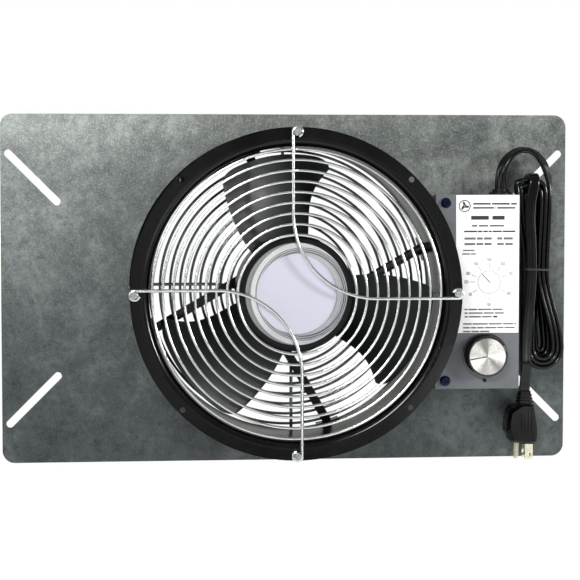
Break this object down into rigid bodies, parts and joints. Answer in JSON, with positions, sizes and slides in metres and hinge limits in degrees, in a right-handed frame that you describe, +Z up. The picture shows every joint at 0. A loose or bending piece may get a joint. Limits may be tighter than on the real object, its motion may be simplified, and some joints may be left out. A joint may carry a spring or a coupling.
{
  "type": "plate-mounted ventilation fan",
  "caption": "Round guarded axial fan on a slotted steel mounting plate, with a humidity control box and a flat supply cord tied in a hank.",
  "frame": {"origin": "on the fan's axis, in the plane of the mounting plate's back face, which is also the centre of the four mounting slots", "axes": "+X to the right and +Z up as the fan hangs on its wall, seen from the front; the front of the fan and the knob face -Y, and +Y goes into the wall"},
  "size_m": [0.4572, 0.0982, 0.2794],
  "materials": {
    "galvanised_plate": "galvanised sheet, dull spangle with cloudy patches",
    "galvanised_box": "galvanised sheet, smooth and even",
    "zinc_hardware": "zinc plated, satin",
    "black_gloss_paint": "gloss black stove enamel",
    "black_hub_paint": "semi-gloss black paint",
    "blade_paint": "satin black paint",
    "chrome_wire": "bright plated wire",
    "cast_aluminium": "as cast",
    "lamination_steel": "stacked laminations, oiled",
    "copper_wire": "varnished copper windings",
    "bearing_steel": "ground steel",
    "spring_steel": "black oxide spring steel",
    "bright_rotor_cap": "bright turned aluminium",
    "rotor_label_film": "pale printed film, blank",
    "black_insulation": "smooth vinyl",
    "white_insulation": "smooth vinyl",
    "green_insulation": "smooth vinyl",
    "black_plastic": "moulded nylon",
    "dark_screws": "dark blue-black screw finish",
    "white_label": "white film with neutral bars and a plain dial",
    "cream_plastic": "moulded switch case",
    "black_gloss_plastic": "moulded knob, gloss",
    "spun_aluminium": "spun face with radial glints",
    "orange_plastic": "moulded wire connector",
    "green_screw": "green passivated",
    "cord_jacket": "ribbed black vinyl",
    "tie_paper": "plastic-coated twist tie",
    "plug_vinyl": "moulded vinyl plug",
    "plug_brass": "nickel-plated brass, slightly yellow"
  },
  "bodies": {
    "root": {"mounting_plate": "galvanised_plate", "plate_studs": "zinc_hardware", "fan_frame": "black_gloss_paint", "rear_guard": "chrome_wire", "front_guard": "chrome_wire", "rear_guard_nuts": "zinc_hardware", "guard_screws": "zinc_hardware", "guard_nuts": "zinc_hardware", "motor_spider": "black_gloss_paint", "motor_base": "cast_aluminium", "motor_screws": "zinc_hardware", "stator_core": "lamination_steel", "stator_windings": "copper_wire", "front_bearing": "bearing_steel", "rear_bearing": "bearing_steel", "preload_washer": "bearing_steel", "motor_lead": "black_insulation", "lead_sleeve": "black_plastic", "box_base": "galvanised_box", "box_rivets": "zinc_hardware", "box_cover": "galvanised_box", "cover_screws": "dark_screws", "rating_label": "white_label", "humidistat_body": "cream_plastic", "humidistat_nut": "zinc_hardware", "dial_stop": "black_plastic", "freeze_thermostat": "black_plastic", "wire_connectors": "orange_plastic", "ground_screw": "green_screw", "line_wires": "black_insulation", "neutral_wires": "white_insulation", "ground_wire": "green_insulation", "cord_bushing": "black_plastic", "cord_lead": "cord_jacket", "cord_hank": "cord_jacket", "hank_tie": "tie_paper", "cord_tail": "cord_jacket", "plug_body": "plug_vinyl", "plug_blades": "plug_brass", "plug_ground_pin": "plug_brass"},
    "rotor": {"motor_shaft": "bearing_steel", "shaft_circlip": "spring_steel", "rotor_core": "lamination_steel", "rotor_shell": "black_hub_paint", "rotor_cap": "bright_rotor_cap", "rotor_label": "rotor_label_film", "fan_blade_1": "blade_paint", "fan_blade_2": "blade_paint", "fan_blade_3": "blade_paint"},
    "knob": {"humidistat_shaft": "bearing_steel", "control_knob": "black_gloss_plastic", "knob_disc": "spun_aluminium"}
  },
  "joints": [
    {"name": "rotor_spin", "type": "hinge", "parent": "root", "child": "rotor", "pos_m": [0, -0.05, 0], "axis": [0, -1, 0], "continuous": true},
    {"name": "knob_turn", "type": "hinge", "parent": "root", "child": "knob", "pos_m": [0.154, -0.05, -0.052], "axis": [0, -1, 0], "range_deg": [-250, 50]}
  ]
}
